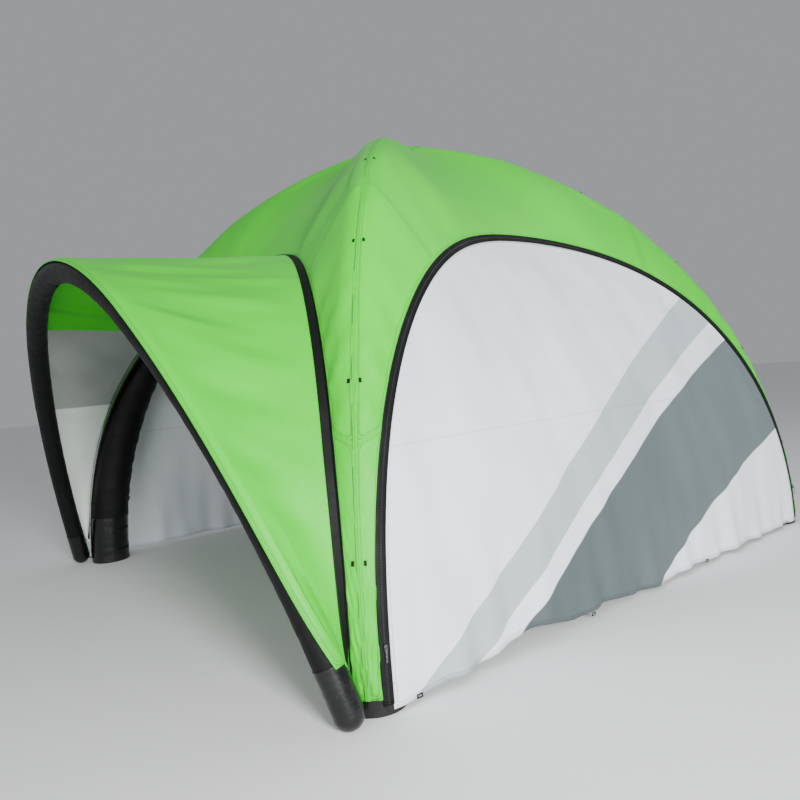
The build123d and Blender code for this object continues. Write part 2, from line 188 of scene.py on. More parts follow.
def cover_at(b, w, lift=0.0):
    """Points of the +X side's cover, about the tent's own axis."""
    b, w = np.broadcast_arrays(np.asarray(b, float), np.asarray(w, float))
    s = sizes()
    r, z = leg_line(b)
    c = r / sqrt(2)
    contact = np.arctan(np.cos(b))
    run = np.abs(w)
    alpha = np.clip(contact - np.clip(run - c, 0, None) / s.cover, LOWEST_ROLL, None)
    flat = run <= c
    reach = np.where(flat, s.cover - draw_in(b, run / np.maximum(c, 1e-6)), s.cover) + lift
    out = (np.cos(alpha) * np.cos(b) + np.sin(alpha)) / sqrt(2)
    along = (np.cos(alpha) * np.cos(b) - np.sin(alpha)) / sqrt(2)
    y = np.where(flat, run, c + reach * along)
    return np.stack([c + reach * out, np.sign(w) * y, z + reach * np.cos(alpha) * np.sin(b)], -1)


def cover_turn(y, z):
    """Turn b and run w of the cover's point at a given y and height z."""
    s = sizes()
    y, z = np.broadcast_arrays(np.asarray(y, float), np.asarray(z, float))
    side, run = np.where(y < 0, -1.0, 1.0), np.abs(y)
    low, high = np.full(run.shape, LOWEST_TURN), np.full(run.shape, apex_turn())
    for _ in range(HALVINGS):
        b = (low + high) / 2
        c = leg_line(b)[0] / sqrt(2)
        swing = np.arctan2(1, np.cos(b))
        ratio = sqrt(2) * (run - c) / s.cover / np.sqrt(1 + np.cos(b) ** 2)
        alpha = np.arccos(np.clip(ratio, -1, 1)) - swing
        contact = np.arctan(np.cos(b))
        w = np.where(run > c, c + s.cover * (contact - alpha), run)
        below = cover_at(b, w)[..., 2] < z
        low, high = np.where(below, b, low), np.where(below, high, b)
    return b, side * w


def edge_at(t, inset=0.0):
    """Turn and run of an opening's edge: t runs -1..1 from foot to foot."""
    s = sizes()
    rise = np.sin(pi / 2 * (1 - np.abs(t)))
    y = (s.edge_half - inset) * np.clip(1 - rise ** EDGE_POWER_Z, 0, None) ** (1 / EDGE_POWER_Y)
    return cover_turn(np.where(t < 0, -y, y), (s.edge_top - inset) * rise)


def hem_share(height, inset=0.0):
    """Share of an edge's run at which it reaches a height."""
    return np.arcsin(height / (sizes().edge_top - inset)) / (pi / 2)


def turned(points, angle):
    """Points turned about the tent's axis, and moved to where the tent stands."""
    a = radians(angle)
    x, y = points[..., 0], points[..., 1]
    spun = np.stack([x * cos(a) - y * sin(a), x * sin(a) + y * cos(a), points[..., 2]], -1)
    return spun + np.array(TENT_MIDDLE)


# ---- shape of the porch arch: g is the turn from its right foot ----

def porch_arcs():
    s = sizes()
    g0, g1 = s.porch_start, s.porch_start + s.porch_turn
    low = np.array([s.porch_half - s.porch_low * cos(g0), -s.porch_low * sin(g0)])
    join = low + s.porch_low * np.array([cos(g1), sin(g1)])
    top_r = join[0] / cos(g1)
    return low, np.array([0.0, join[1] - top_r * sin(g1)]), top_r, g0, g1


def porch_foot():
    """Middle of the line through the two porch feet, on the fold's axis."""
    return np.array(next(j["pos_m"] for j in frame["joints"] if j["name"] == "porch_fold"))


def porch_at(t):
    """Centre line and outward direction of the porch arch, t = -1..1 from foot to foot."""
    s = sizes()
    low, top, top_r, g0, g1 = porch_arcs()
    t = np.asarray(t, float)
    g = g0 + (pi / 2 - g0) * (1 - np.abs(t))
    lower = (g < g1)[..., None]
    ring = np.stack([np.cos(g), np.sin(g)], -1)
    flat = np.where(lower, low + s.porch_low * ring, top + top_r * ring)
    side = np.where(t < 0, -1.0, 1.0)
    up = np.array([0, -sin(s.porch_lean), cos(s.porch_lean)])
    centre = np.stack([side * flat[..., 0], 0 * g, 0 * g], -1) + flat[..., 1:] * up + porch_foot()
    outward = np.stack([side * ring[..., 0], 0 * g, 0 * g], -1) + ring[..., 1:] * up
    return centre, outward


# ---- mesh helpers ----

SAME_POINT = 1e-5


def unit(v):
    return v / np.maximum(np.linalg.norm(v, axis=-1, keepdims=True), 1e-9)


def grid_piece(name, points, uv, loop=False):
    """Mesh of quads through a grid of points, with its flat pattern as UV, in metres."""
    rows, columns = points.shape[:2]
    index = np.arange(rows * columns).reshape(rows, columns)
    right = np.roll(index, -1, 1) if loop else index[:, 1:]
    left = index if loop else index[:, :-1]
    quads = np.stack([left[:-1], right[:-1], right[1:], left[1:]], -1).reshape(-1, 4)
    mesh = bpy.data.meshes.new(name)
    mesh.from_pydata(points.reshape(-1, 3).tolist(), [], quads.tolist())
    layer = mesh.uv_layers.new(name="Pattern")
    vertex = np.array([l.vertex_index for l in mesh.loops])
    layer.data.foreach_set("uv", uv.reshape(-1, 2)[vertex].ravel().astype(np.float32))
    mesh.polygons.foreach_set("use_smooth", [True] * len(mesh.polygons))
    piece = bpy.data.objects.new(name, mesh)
    bpy.context.scene.collection.objects.link(piece)
    return piece


def mark(piece, name, values):
    """Stores a number per vertex, for a material to read."""
    layer = piece.data.attributes.new(name, "FLOAT", "POINT")
    layer.data.foreach_set("value", np.asarray(values, np.float32).ravel())


def merge_close(piece):
    """Joins the points that fall together where a grid narrows to nothing."""
    mesh = bmesh.new()
    mesh.from_mesh(piece.data)
    bmesh.ops.remove_doubles(mesh, verts=mesh.verts, dist=SAME_POINT)
    mesh.to_mesh(piece.data)
    mesh.free()


def face_away(piece, inside):
    """Turns the faces so that they point away from a place inside the tent."""
    mesh = piece.data
    middle = np.array([f.center for f in mesh.polygons])
    normal = np.array([f.normal for f in mesh.polygons])
    if np.sum((middle - np.array(inside)) * normal) < 0:
        mesh.flip_normals()


def thicken(piece, thickness):
    """Gives a sheet its thickness, inwards from the side that is seen."""
    skin = piece.modifiers.new("Cloth", "SOLIDIFY")
    skin.thickness = thickness
    skin.offset = -1.0
    skin.use_even_offset = False


def bake_modifiers(piece):
    """Replaces the piece's mesh by what its modifiers make."""
    graph = bpy.context.evaluated_depsgraph_get()
    mesh = bpy.data.meshes.new_from_object(piece.evaluated_get(graph))
    piece.modifiers.clear()
    piece.data = mesh
    return piece


def grid_area(points):
    """Area of the quads of a grid, from their diagonals."""
    a, b, c, d = points[:-1, :-1], points[1:, :-1], points[1:, 1:], points[:-1, 1:]
    return float(np.linalg.norm(np.cross(c - a, d - b), axis=-1).sum() / 2)


def finish_piece(piece, material, body=None, nodes=()):
    """Gives a piece its material, hangs it on the body that it rides on, and hides the parts that it
    stands for.
    """
    piece.data.materials.clear()
    piece.data.materials.append(material)
    if body:
        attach(piece, body)
    if nodes:
        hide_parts(*nodes)


# ---- node helpers ----

WAVE_UNIT = 20          # a wave texture of scale 1 turns 20 / (2 pi) times in a metre
CLOTH_WEAVE = 0.0022    # pitches and gaps in metres
SLEEVE_WEAVE = 0.003
STITCH_PITCH = 0.011
STITCH_ROWS = (0.009, 0.021)
# SEAM_FOLD: from a seam to its fold line, which is grooved by bump and darkened with painted shade
SEAM_FOLD = 0.026
THREAD_EDGE = (0.0012, 0.0028)
DASH_EDGE = (0.3, 0.4)

class Finish:
    """A material being built: short names for the nodes that the finishes share."""

    def __init__(self, name):
        self.material = bpy.data.materials.new(name)
        self.material.use_nodes = True
        self.tree = self.material.node_tree
        self.shader = self.tree.nodes["Principled BSDF"]

    def node(self, kind, **values):
        made = self.tree.nodes.new(kind)
        for key, value in values.items():
            setattr(made, key, value)
        return made

    def link(self, out, socket):
        self.tree.links.new(out, socket)

    def feed(self, socket, value):
        if isinstance(value, bpy.types.NodeSocket):
            self.link(value, socket)
        elif isinstance(value, (tuple, list)) and len(value) == 3 and socket.type == "RGBA":
            socket.default_value = (*value, 1.0)
        else:
            socket.default_value = value

    def math(self, operation, a, b=0.0, c=0.0):
        made = self.node("ShaderNodeMath", operation=operation)
        for socket, value in zip(made.inputs, (a, b, c)):
            self.feed(socket, value)
        return made.outputs[0]

    def place(self):
        return self.node("ShaderNodeTexCoord").outputs["Object"]

    def pattern(self):
        return self.node("ShaderNodeUVMap", uv_map="Pattern").outputs[0]

    def axes(self, vector):
        split = self.node("ShaderNodeSeparateXYZ")
        self.link(vector, split.inputs[0])
        return split.outputs

    def value(self, name):
        return self.node("ShaderNodeAttribute", attribute_name=name).outputs["Fac"]

    def scaled(self, vector, scale):
        made = self.node("ShaderNodeMapping")
        self.link(vector, made.inputs[0])
        made.inputs["Scale"].default_value = scale
        return made.outputs[0]

    def noise(self, vector, scale, detail=3.0, rough=0.55):
        made = self.node("ShaderNodeTexNoise")
        self.link(vector, made.inputs["Vector"])
        made.inputs["Scale"].default_value = scale
        made.inputs["Detail"].default_value = detail
        made.inputs["Roughness"].default_value = rough
        return made.outputs["Fac"]

    def wave(self, vector, scale, direction):
        made = self.node("ShaderNodeTexWave", bands_direction=direction)
        self.link(vector, made.inputs["Vector"])
        made.inputs["Scale"].default_value = scale
        return made.outputs["Fac"]

    def span(self, value, low, high, start=0.0, end=1.0):
        """Maps low..high smoothly to start..end."""
        made = self.node("ShaderNodeMapRange", interpolation_type="SMOOTHSTEP")
        for socket, item in zip(made.inputs, (value, low, high, start, end)):
            self.feed(socket, item)
        return made.outputs[0]

    def mix(self, share, a, b):
        made = self.node("ShaderNodeMix", data_type="RGBA")
        self.feed(made.inputs[0], share)
        self.feed(made.inputs[6], a)
        self.feed(made.inputs[7], b)
        return made.outputs[2]

    def stitches(self, gap, run, away):
        """1 on a row of stitches that lies at a distance from a sewn edge."""
        near = self.math("ABSOLUTE", self.math("SUBTRACT", gap, away))
        row = self.span(near, *THREAD_EDGE, 1.0, 0.0)
        phase = self.math("FRACT", self.math("DIVIDE", run, STITCH_PITCH))
        dash = self.span(self.math("ABSOLUTE", self.math("SUBTRACT", phase, 0.5)), *DASH_EDGE, 1.0, 0.0)
        return self.math("MULTIPLY", row, dash)

    def bump(self, height, strength, distance, normal=None):
        made = self.node("ShaderNodeBump")
        made.inputs["Strength"].default_value = strength
        made.inputs["Distance"].default_value = distance
        self.link(height, made.inputs["Height"])
        if normal:
            self.link(normal, made.inputs["Normal"])
        return made.outputs[0]

    def weave(self, pitch):
        """Height of a plain weave on the flat pattern."""
        vector = self.pattern()
        scale = 1 / pitch / WAVE_UNIT * 2 * pi
        warp = self.wave(vector, scale, "X")
        weft = self.wave(vector, scale, "Y")
        return self.math("MAXIMUM", warp, weft)

    def gloss(self, **values):
        for key, value in values.items():
            self.shader.inputs[key.replace("_", " ").title().replace("Ior", "IOR")].default_value = value

    def finish(self, base, rough, normal):
        self.feed(self.shader.inputs["Base Color"], base)
        self.feed(self.shader.inputs["Roughness"], rough)
        if normal:
            self.link(normal, self.shader.inputs["Normal"])
        return self.material


def sewn_cloth(m, base):
    """Weave, crinkle, seam pucker and stitches over a base colour, with painted shade darkening the fold
    line beside each seam.
    """
    place = m.place()
    gap, run = m.value("seam_gap"), m.value("seam_run")
    cloudy = m.noise(place, 0.9, 2.0)
    crinkle = m.noise(m.scaled(place, (1.0, 1.0, 0.45)), 6.0, 4.0, 0.6)
    fine = m.noise(place, 34.0, 4.0, 0.65)
    stitches = m.math("MAXIMUM", *(m.stitches(gap, run, away) for away in STITCH_ROWS))
    fold = m.span(m.math("ABSOLUTE", m.math("SUBTRACT", gap, SEAM_FOLD)), 0.0, 0.0025, 1.0, 0.0)
    near_seam = m.span(gap, 0.0, 0.075, 1.0, 0.0)
    pucker = m.math("MULTIPLY", m.noise(place, 55.0, 1.0), near_seam)
    worn = m.mix(m.span(cloudy, 0.35, 0.7), base, m.mix(0.07, base, (0.02, 0.03, 0.02)))
    # Painted shade: the fold line beside each seam is darkened towards deep green as its crease would be
    # shaded, so from here worn holds random tone and painted shade.
    worn = m.mix(m.math("MULTIPLY", fold, 0.35), worn, (0.01, 0.02, 0.01))
    worn = m.mix(m.math("MULTIPLY", stitches, 0.5), worn, (0.02, 0.03, 0.02))
    height = m.math("ADD", m.math("MULTIPLY", crinkle, 0.55), m.math("MULTIPLY", pucker, 0.5))
    height = m.math("ADD", height, m.math("MULTIPLY", fine, 0.10))
    soft = m.bump(height, 0.55, 0.010)
    sewn = m.bump(m.math("SUBTRACT", m.math("MULTIPLY", stitches, 0.8), fold), 0.5, 0.0015, soft)
    woven = m.bump(m.weave(CLOTH_WEAVE), 0.18, 0.0004, sewn)
    rough = m.span(fine, 0.2, 0.8, 0.46, 0.60)
    return worn, rough, woven


def dyed_green(m):
    """Green with broad deeper patches."""
    c = colours()
    tone = m.span(m.noise(m.place(), 0.55, 1.0), 0.35, 0.65)
    return m.mix(tone, tuple(c.green), tuple(c.green_deep))


def sewn_green(m, base):
    base, rough, normal = sewn_cloth(m, base)
    m.gloss(sheen_weight=0.05, sheen_roughness=0.4, specular_ior_level=0.30)
    return m.finish(base, rough, normal)


def green_cloth():
    m = Finish("roof_cloth")
    return sewn_green(m, dyed_green(m))


def print_line(m, y, start, slope, bend):
    """Height of a printed edge over y: start + slope y + bend y y."""
    bent = m.math("MULTIPLY", m.math("MULTIPLY", y, y), bend)
    return m.math("ADD", m.math("MULTIPLY_ADD", y, slope, start), bent)


PRINT_EDGES = {
    # height at the wall's middle, slope and bend of each printed edge, in metres
    "light_top": (1.325, 0.556, -0.020),
    "light_foot": (1.030, 0.532, -0.026),
    "dark_top": (0.870, 0.520, -0.036),
    "dark_foot": (0.008, 0.470, -0.036),
}
EDGE_BLUR = 0.006
WALL_SEAM_Z = 1.27


def wall_cloth(name, printed):
    m = Finish(name)
    c = colours()
    y, z, _ = m.axes(m.pattern())
    under = {}
    for key, line in PRINT_EDGES.items():
        drop = m.math("SUBTRACT", print_line(m, y, *line), z)
        under[key] = m.span(drop, -EDGE_BLUR, EDGE_BLUR)
    share = 1.0 if printed else 0.0
    light = m.math("MULTIPLY", m.math("SUBTRACT", under["light_top"], under["light_foot"]), share)
    dark = m.math("MULTIPLY", m.math("SUBTRACT", under["dark_top"], under["dark_foot"]), share)
    fade = m.span(y, -1.5, 2.2)
    white = m.mix(m.span(z, 0.2, 2.0), tuple(c.white), tuple(0.93 * v for v in c.white))
    band = m.mix(fade, tuple(0.85 * v for v in c.dark_grey), tuple(1.35 * v for v in c.dark_grey))
    base = m.mix(light, white, tuple(c.light_grey))
    base = m.mix(dark, base, band)
    seam = m.math("ABSOLUTE", m.math("SUBTRACT", z, WALL_SEAM_Z))
    base = m.mix(m.span(seam, 0.001, 0.004, 0.30, 0.0), base, (0.10, 0.11, 0.12))
    base, rough, normal = sewn_cloth(m, base)
    lap = m.bump(m.span(seam, 0.002, 0.010), 0.35, 0.0012, normal)
    m.gloss(sheen_weight=0.04, sheen_roughness=0.5, specular_ior_level=0.30)
    return m.finish(base, rough, lap)


# top of the stretch of painted shade, top of the pale print below it, and the blur of both edges
PORCH_SHADE_TOP = 2.27
PORCH_PRINT_LOW = 1.62
PORCH_SHADE_AND_PRINT_BLUR = 0.01


def porch_cloth():
    """Green, with a shaded and then a pale stretch down the left flank."""
    m = Finish("porch_cloth")
    x, _, z = m.axes(m.place())
    left = m.span(x, -0.35, -0.30, 1.0, 0.0)
    wavy = m.math("MULTIPLY_ADD", m.noise(m.place(), 0.8, 1.0), 0.05, z)
    base = dyed_green(m)
    # The upper stretch is painted shade, a copy of the pale print darkened to 0.45; the lower stretch is
    # the pale print itself.
    for top, shade in ((PORCH_SHADE_TOP, 0.45), (PORCH_PRINT_LOW, 1.0)):
        below = m.span(wavy, top - PORCH_SHADE_AND_PRINT_BLUR, top + PORCH_SHADE_AND_PRINT_BLUR, 1.0, 0.0)
        tone = tuple(shade * v for v in colours().porch_print)
        base = m.mix(m.math("MULTIPLY", left, below), base, tone)
    return sewn_green(m, base)


def black_cloth():
    m = Finish("black_cloth")
    c = colours()
    place = m.place()
    dust = m.span(m.noise(place, 2.2, 5.0, 0.65), 0.42, 0.75)
    crinkle = m.noise(m.scaled(place, (1.0, 1.0, 0.6)), 9.0, 5.0, 0.6)
    fine = m.noise(place, 60.0, 3.0)
    base = m.mix(m.math("MULTIPLY", dust, 0.5), tuple(c.black), (0.011, 0.011, 0.011))
    soft = m.bump(m.math("MULTIPLY_ADD", fine, 0.15, crinkle), 0.6, 0.012)
    normal = m.bump(m.weave(SLEEVE_WEAVE), 0.25, 0.0005, soft)
    m.gloss(sheen_weight=0.02, sheen_roughness=0.45, specular_ior_level=0.14)
    return m.finish(base, m.span(fine, 0.2, 0.8, 0.48, 0.66), normal)


def plain_finish(name, tone, rough, grain, dust_tone, metal=0.0):
    """Moulded, coated or webbing surfaces: fine grain, worn patches and dust."""
    m = Finish(name)
    place = m.place()
    worn = m.noise(place, 14.0, 4.0, 0.6)
    fine = m.noise(place, grain, 3.0, 0.6)
    dust = m.span(m.noise(place, 3.0, 4.0), 0.5, 0.8, 0.0, 0.55)
    base = m.mix(dust, tone, dust_tone)
    normal = m.bump(m.math("MULTIPLY_ADD", worn, 0.6, fine), 0.35, 0.0008)
    m.gloss(metallic=metal, specular_ior_level=0.18)
    return m.finish(base, m.span(worn, 0.3, 0.7, rough - 0.06, rough + 0.08), normal)


def boot_vinyl():
    m = Finish("boot_vinyl")
    c = colours()
    place = m.place()
    z = m.axes(place)[2]
    scuff = m.span(m.noise(place, 9.0, 5.0, 0.7), 0.5, 0.75)
    splash = m.math("MULTIPLY", m.span(z, 0.0, 0.12, 0.5, 0.0), m.noise(place, 20.0, 3.0))
    dirt = m.math("MAXIMUM", m.math("MULTIPLY", scuff, 0.35), splash)
    base = m.mix(dirt, tuple(c.vinyl), (0.020, 0.018, 0.015))
    crease = m.noise(m.scaled(place, (1.0, 1.0, 2.2)), 7.0, 3.0, 0.5)
    grain = m.noise(place, 240.0, 2.0)
    normal = m.bump(grain, 0.15, 0.0003, m.bump(crease, 0.5, 0.012))
    m.gloss(coat_weight=0.08, coat_roughness=0.25, specular_ior_level=0.35)
    return m.finish(base, m.span(dirt, 0.0, 0.6, 0.24, 0.55), normal)


def metal_finish():
    m = Finish("zip_metal")
    place = m.place()
    scratch = m.noise(m.scaled(place, (1.0, 1.0, 0.12)), 300.0, 3.0)
    worn = m.noise(place, 60.0, 4.0, 0.6)
    base = m.mix(m.span(worn, 0.45, 0.7), (0.09, 0.09, 0.10), (0.22, 0.22, 0.23))
    m.gloss(metallic=0.9)
    return m.finish(base, m.span(scratch, 0.3, 0.7, 0.28, 0.46), m.bump(scratch, 0.2, 0.0003))


FINISHES = {}


def finishes():
    """The materials, made once and shared by the pieces."""
    if not FINISHES:
        c = colours()
        FINISHES.update(
            roof=green_cloth(), printed=wall_cloth("printed_wall", True),
            wall=wall_cloth("plain_wall", False), porch=porch_cloth(), sleeve=black_cloth(),
            boot=boot_vinyl(), metal=metal_finish(),
            band=plain_finish("zip_band", tuple(c.black), 0.62, 420.0, (0.010, 0.010, 0.010)),
            webbing=plain_finish("webbing", tuple(c.black), 0.70, 520.0, (0.014, 0.014, 0.013)),
            plastic=plain_finish("valve_plastic", tuple(c.plastic), 0.38, 300.0, (0.05, 0.05, 0.05)),
            bladder=plain_finish("bladder", (0.55, 0.56, 0.56), 0.30, 120.0, (0.45, 0.45, 0.44)),
        )
    return FINISHES


# ---- seams, folds and repeats ----

def measured(points):
    """Lengths along rows and columns of a grid, in metres, as its flat pattern."""
    across = np.linalg.norm(np.diff(points, axis=1), axis=-1)
    along = np.linalg.norm(np.diff(points, axis=0), axis=-1)
    u = np.concatenate([np.zeros((points.shape[0], 1)), np.cumsum(across, 1)], 1)
    v = np.concatenate([np.zeros((1, points.shape[1])), np.cumsum(along, 0)], 0)
    return np.stack([u - u.mean(1, keepdims=True), v - v.mean(0, keepdims=True)], -1)


def mark_seams(piece, points, sides=("start", "end", "low", "high"), rows=()):
    """Stores the distance to the nearest sewn side or row of a grid, and the run along it."""
    uv = measured(points)
    u, v = uv[..., 0], uv[..., 1]
    gaps = {
        "start": (u - u[:, :1], v), "end": (u[:, -1:] - u, v),
        "low": (v - v[:1], u), "high": (v[-1:] - v, u),
    }
    for row in rows:
        gaps[row] = (np.abs(v - v[row]), u)
    gap = np.full(u.shape, 9.0)
    run = v.copy()
    for side in (*sides, *rows):
        distance, along = gaps[side]
        nearer = distance < gap
        gap, run = np.where(nearer, distance, gap), np.where(nearer, along, run)
    mark(piece, "seam_gap", gap)
    mark(piece, "seam_run", run)


def grid_normals(points, inside):
    """Unit normals of a grid's points, away from a place inside."""
    normal = unit(np.cross(np.gradient(points, axis=0), np.gradient(points, axis=1)))
    outwards = np.sum(normal * (points - np.array(inside)), -1)
    return normal * (1 if outwards.sum() > 0 else -1)


def folded(points, height, inside):
    """Moves a grid's points along its normals by a height."""
    return points + grid_normals(points, inside) * height[..., None]


def ripples(a, b, waves):
    """Sum of waves given as (turns per a, turns per b, phase, height)."""
    return sum(h * np.sin(2 * pi * (a * p + b * q) + shift) for p, q, shift, h in waves)


REPEAT_SEED = 4


def repeat_group():
    """Geometry nodes: one small block at each step along a path."""
    name = "Repeat along path"
    if name in bpy.data.node_groups:
        return bpy.data.node_groups[name]
    group = bpy.data.node_groups.new(name, "GeometryNodeTree")
    for label, kind in (("Path", "Geometry"), ("Pitch", "Float"), ("Block size", "Vector"),
                        ("Wobble", "Float"), ("Seed", "Int"), ("Material", "Material")):
        group.interface.new_socket(label, in_out="INPUT", socket_type=f"NodeSocket{kind}")
    group.interface.new_socket("Blocks", in_out="OUTPUT", socket_type="NodeSocketGeometry")
    new, link = group.nodes.new, group.links.new
    source, result = new("NodeGroupInput"), new("NodeGroupOutput")
    curve, steps = new("GeometryNodeMeshToCurve"), new("GeometryNodeResampleCurve")
    steps.mode = "LENGTH"
    cube, place = new("GeometryNodeMeshCube"), new("GeometryNodeInstanceOnPoints")
    tangent, up = new("GeometryNodeInputTangent"), new("GeometryNodeInputNamedAttribute")
    up.data_type = "FLOAT_VECTOR"
    up.inputs["Name"].default_value = "up"
    ahead, level = new("FunctionNodeAlignRotationToVector"), new("FunctionNodeAlignRotationToVector")
    ahead.axis, level.axis, level.pivot_axis = "X", "Z", "X"
    chance, size = new("FunctionNodeRandomValue"), new("ShaderNodeMath")
    size.operation = "ADD"
    size.inputs[1].default_value = 1.0
    flip = new("ShaderNodeMath")
    flip.operation = "MULTIPLY"
    flip.inputs[1].default_value = -1.0
    real, skin = new("GeometryNodeRealizeInstances"), new("GeometryNodeSetMaterial")
    link(source.outputs["Path"], curve.inputs["Mesh"])
    link(curve.outputs["Curve"], steps.inputs["Curve"])
    link(source.outputs["Pitch"], steps.inputs["Length"])
    link(steps.outputs["Curve"], place.inputs["Points"])
    link(source.outputs["Block size"], cube.inputs["Size"])
    link(cube.outputs["Mesh"], place.inputs["Instance"])
    link(tangent.outputs["Tangent"], ahead.inputs["Vector"])
    link(ahead.outputs["Rotation"], level.inputs["Rotation"])
    link(up.outputs["Attribute"], level.inputs["Vector"])
    link(level.outputs["Rotation"], place.inputs["Rotation"])
    link(source.outputs["Wobble"], flip.inputs[0])
    link(flip.outputs[0], chance.inputs[2])
    link(source.outputs["Wobble"], chance.inputs[3])
    link(source.outputs["Seed"], chance.inputs["Seed"])
    link(chance.outputs[1], size.inputs[0])
    link(size.outputs[0], place.inputs["Scale"])
    link(place.outputs["Instances"], real.inputs["Geometry"])
    link(real.outputs["Geometry"], skin.inputs["Geometry"])
    link(source.outputs["Material"], skin.inputs["Material"])
    link(skin.outputs["Geometry"], result.inputs["Blocks"])
    return group


def repeat_along(name, points, ups, pitch, block, material, wobble):
    """A piece made of one block at each step of a path of points."""
    mesh = bpy.data.meshes.new(name)
    mesh.from_pydata(points.tolist(), [(i, i + 1) for i in range(len(points) - 1)], [])
    layer = mesh.attributes.new("up", "FLOAT_VECTOR", "POINT")
    layer.data.foreach_set("vector", np.asarray(ups, np.float32).ravel())
    piece = bpy.data.objects.new(name, mesh)
    bpy.context.scene.collection.objects.link(piece)
    group = repeat_group()
    modifier = piece.modifiers.new("Blocks", "NODES")
    values = {"Pitch": pitch, "Block size": block, "Wobble": wobble, "Seed": REPEAT_SEED,
              "Material": material}
    modifier.node_group = group
    for socket in group.interface.items_tree:
        if socket.in_out == "INPUT" and socket.name in values:
            modifier[socket.identifier] = values[socket.name]
    return bake_modifiers(piece)


# ---- pieces ----

# places that every cloth faces away from: in a side's own frame, in the tent, and in the porch
SIDE_INSIDE = (0.0, 0.0, 1.0)
TENT_INSIDE = TENT_MIDDLE + Vector(SIDE_INSIDE)
PORCH_INSIDE = (0.0, -1.8, 0.8)
BAND_CLOTH = 0.0022
LAP_CLOTH = 0.0016

# folds: turns along each of the two directions, phase, and share of the height
ROOF_GATHERS = ((3.1, -1.0, 0.4, 1.0), (5.3, 1.3, 1.9, 0.6), (8.2, -1.6, 2.7, 0.35))
ROOF_PULLS = ((6.0, 0.35, 0.3, 1.0), (11.0, -0.4, 1.2, 0.5), (3.0, 0.8, 2.0, 0.8))
WALL_HANG = ((0.9, 0.2, 0.5, 1.0), (1.7, -0.35, 1.4, 0.6), (3.3, 0.5, 2.2, 0.28))
WALL_PULLS = ((1.2, 1.5, 0.2, 0.5), (-1.6, 2.1, 1.1, 0.3))
HEM_FOLDS = ((2.6, 0.3, 0.9, 1.0), (4.4, -0.4, 2.0, 0.6))
LEG_PINCHES = ((5.2, 1.0, 0.3, 1.0), (8.7, -2.0, 1.1, 0.7), (13.0, 3.0, 2.1, 0.4))
PORCH_PINCHES = ((6.1, 1.0, 0.3, 1.0), (10.3, -2.0, 1.7, 0.7), (16.0, 2.0, 2.4, 0.4))
CANOPY_PULLS = ((7.0, 0.55, 0.2, 1.0), (12.5, -0.6, 1.1, 0.6), (4.0, 0.9, 2.3, 0.8),
                (21.0, 0.4, 0.7, 0.25))
ROOF_FOLD = 0.0075
WALL_FOLDS = (0.0075, 0.0045, 0.016)
CANOPY_FOLD = 0.0085
CANOPY_SAG = 0.030

# sewn rows across the roof panels and the canopy, as shares of the run from foot to foot
ROOF_SEAMS = (-0.66, -0.31, 0.31, 0.66)
CANOPY_SEAMS = (-0.33, 0.33)


def clear_of_legs(b, w, height):
    """Keeps folds from sinking into the inflated legs under the cover."""
    middle = leg_line(b)[0] / sqrt(2)
    away = np.clip(middle - np.abs(w), 0, None)
    room = FOLD_SLACK + tube_drop(b, away)
    drawn = draw_in(b, np.abs(w) / np.maximum(middle, 1e-6)) * (away > 0)
    return np.maximum(height, drawn - room)


def rows_near(t, places):
    """Rows of a grid that lie nearest to given shares of its run."""
    return [int(abs(t[:, 0] - place).argmin()) for place in places]


def crest_turns(turn_hem, share):
    """Turns along a crest, crowded towards the hem."""
    return turn_hem + (apex_turn() - turn_hem) * np.clip(share, 0, 1) ** CREST_TURN_POWER


COLUMN_CROWDING = 0.10
CREST_GAP = 0.0005
FOLD_HEM_SHARES = (0.10, 0.08)      # margins of a roof panel, beside the edge and the crest, with no fold


def roof_grid(rows, columns):
    """Turns and runs of one side's roof panel, from the opening's edge to the crests."""
    s = sizes()
    low = hem_share(s.cover_hem)
    t = np.linspace(low - 1, 1 - low, rows)[:, None]
    v = np.linspace(0, 1, columns)[None]
    b_edge, w_edge = edge_at(t)
    hem_b = cover_turn(s.edge_half, s.cover_hem)[0]
    b_crest = crest_turns(hem_b, (1 - np.abs(t) - low) / (1 - low))
    w_crest = np.sign(t) * (crest_reach(b_crest) - CREST_GAP)
    # columns crowd towards both ends so that seams and folds stay crisp
    v = v - COLUMN_CROWDING * np.sin(2 * pi * v) / (2 * pi)
    return b_edge + (b_crest - b_edge) * v, w_edge + (w_crest - w_edge) * v, t, v


def roof_height(t, v):
    """Folds of the stretched roof: gathers down the leg strips, soft pulls above."""
    by_edge, by_crest = FOLD_HEM_SHARES
    window = np.clip(v / by_edge, 0, 1) * np.clip((1 - v) / by_crest, 0, 1)
    share = 1 - np.abs(t)
    strip = np.clip((0.62 - share) / 0.25, 0, 1)
    down = share * 5.0
    gathers = ripples(down, v, ROOF_GATHERS)
    gathers = gathers * (0.55 + 0.45 * np.sin(2 * pi * share * 2.3 + 0.8))
    pulls = ripples(t, v, ROOF_PULLS)
    upper = np.clip((share - 0.45) / 0.25, 0, 1) * np.clip((1 - share) / 0.12 + 0.15, 0, 1)
    return window * (ROOF_FOLD * strip * gathers + ROOF_FOLD * upper * pulls)


def build_roof(side, angle):
    b, w, t, v = roof_grid(201, 61)
    flat = cover_at(b, w)
    bent = folded(flat, clear_of_legs(b, w, roof_height(t, v)), SIDE_INSIDE)
    bent[:, 0], bent[:, -1] = flat[:, 0], flat[:, -1]
    points = turned(bent, angle)
    piece = grid_piece(f"roof_{side}", points, measured(flat))
    mark_seams(piece, flat, rows=rows_near(t, ROOF_SEAMS))
    merge_close(piece)
    face_away(piece, TENT_INSIDE)
    thicken(piece, sizes().cloth)
    finish_piece(piece, finishes()["roof"], "tent", (f"roof_panel_{side}",))
    declare_sheet(measured(flat), grid_area(flat))


